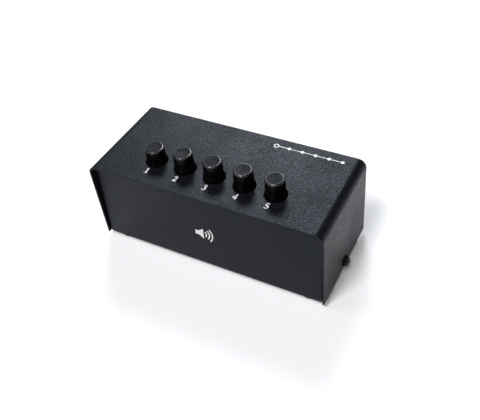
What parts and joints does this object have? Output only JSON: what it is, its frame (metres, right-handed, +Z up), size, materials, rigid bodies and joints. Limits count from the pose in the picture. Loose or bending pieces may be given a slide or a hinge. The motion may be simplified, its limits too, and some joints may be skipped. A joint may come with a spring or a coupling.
{
  "type": "push-button audio selector",
  "caption": "Folded-steel audio selector box: interlocked round push buttons on top, a leaning front panel, stereo jacks behind and rubber feet.",
  "frame": {"origin": "on the table, under the middle of the box", "axes": "+X to the right along the row of buttons, +Y to the back where the jacks are, +Z up"},
  "size_m": [0.161, 0.067, 0.0726],
  "materials": {
    "cover_paint": "fine speckled powder coat, dark grey, satin",
    "chassis_paint": "fine speckled powder coat, near black, satin",
    "black_screw": "black oxide, slightly glossy",
    "foot_rubber": "matt black",
    "board_laminate": "green solder mask",
    "pillar_brass": "plain",
    "zinc_steel": "bright zinc",
    "spring_steel": "drawn wire",
    "cap_plastic": "glossy black sides, satin dished top",
    "plunger_plastic": "natural moulding",
    "switch_plastic": "moulded black",
    "contact_metal": "silver-plated",
    "jack_plastic": "moulded black",
    "nut_nickel": "nickel plate"
  },
  "bodies": {
    "box": {"base_chassis": "chassis_paint", "board_screws": "zinc_steel", "board_standoffs": "pillar_brass", "cover_screws": "black_screw", "floor_screws": "zinc_steel", "frame_nuts": "zinc_steel", "frame_screws": "zinc_steel", "jack_body_1": "jack_plastic", "jack_body_2": "jack_plastic", "jack_body_3": "jack_plastic", "jack_body_4": "jack_plastic", "jack_body_5": "jack_plastic", "jack_body_common": "jack_plastic", "jack_contacts": "contact_metal", "jack_nuts": "nut_nickel", "latch_spring": "spring_steel", "main_board": "board_laminate", "return_spring_1": "spring_steel", "return_spring_2": "spring_steel", "return_spring_3": "spring_steel", "return_spring_4": "spring_steel", "return_spring_5": "spring_steel", "rubber_feet": "foot_rubber", "switch_bases": "switch_plastic", "switch_body_1": "switch_plastic", "switch_body_2": "switch_plastic", "switch_body_3": "switch_plastic", "switch_body_4": "switch_plastic", "switch_body_5": "switch_plastic", "switch_frame": "zinc_steel", "switch_terminals": "contact_metal", "top_cover": "cover_paint"},
    "button_1": {"button_cap_1": "cap_plastic", "plunger_1": "plunger_plastic", "contact_clips_1": "contact_metal"},
    "button_2": {"button_cap_2": "cap_plastic", "plunger_2": "plunger_plastic", "contact_clips_2": "contact_metal"},
    "button_3": {"button_cap_3": "cap_plastic", "plunger_3": "plunger_plastic", "contact_clips_3": "contact_metal"},
    "button_4": {"button_cap_4": "cap_plastic", "plunger_4": "plunger_plastic", "contact_clips_4": "contact_metal"},
    "button_5": {"button_cap_5": "cap_plastic", "plunger_5": "plunger_plastic", "contact_clips_5": "contact_metal"},
    "latch": {"latch_bar": "zinc_steel"}
  },
  "joints": [
    {"name": "button_1_slide", "type": "slide", "parent": "box", "child": "button_1", "axis": [0, 0, 1], "range_m": [-0.0007, 0.0018], "deforming": ["return_spring_1"]},
    {"name": "button_2_slide", "type": "slide", "parent": "box", "child": "button_2", "axis": [0, 0, 1], "range_m": [-0.0025, 0], "stiffness_N_per_m": 400, "springref_m": 0.001, "deforming": ["return_spring_2"]},
    {"name": "button_3_slide", "type": "slide", "parent": "box", "child": "button_3", "axis": [0, 0, 1], "range_m": [-0.0025, 0], "stiffness_N_per_m": 400, "springref_m": 0.001, "deforming": ["return_spring_3"]},
    {"name": "button_4_slide", "type": "slide", "parent": "box", "child": "button_4", "axis": [0, 0, 1], "range_m": [-0.0025, 0], "stiffness_N_per_m": 400, "springref_m": 0.001, "deforming": ["return_spring_4"]},
    {"name": "button_5_slide", "type": "slide", "parent": "box", "child": "button_5", "axis": [0, 0, 1], "range_m": [-0.0025, 0], "stiffness_N_per_m": 400, "springref_m": 0.001, "deforming": ["return_spring_5"]},
    {"name": "latch_bar_slide", "type": "slide", "parent": "box", "child": "latch", "axis": [1, 0, 0], "range_m": [0, 0.0009], "stiffness_N_per_m": 200, "springref_m": -0.001}
  ]
}
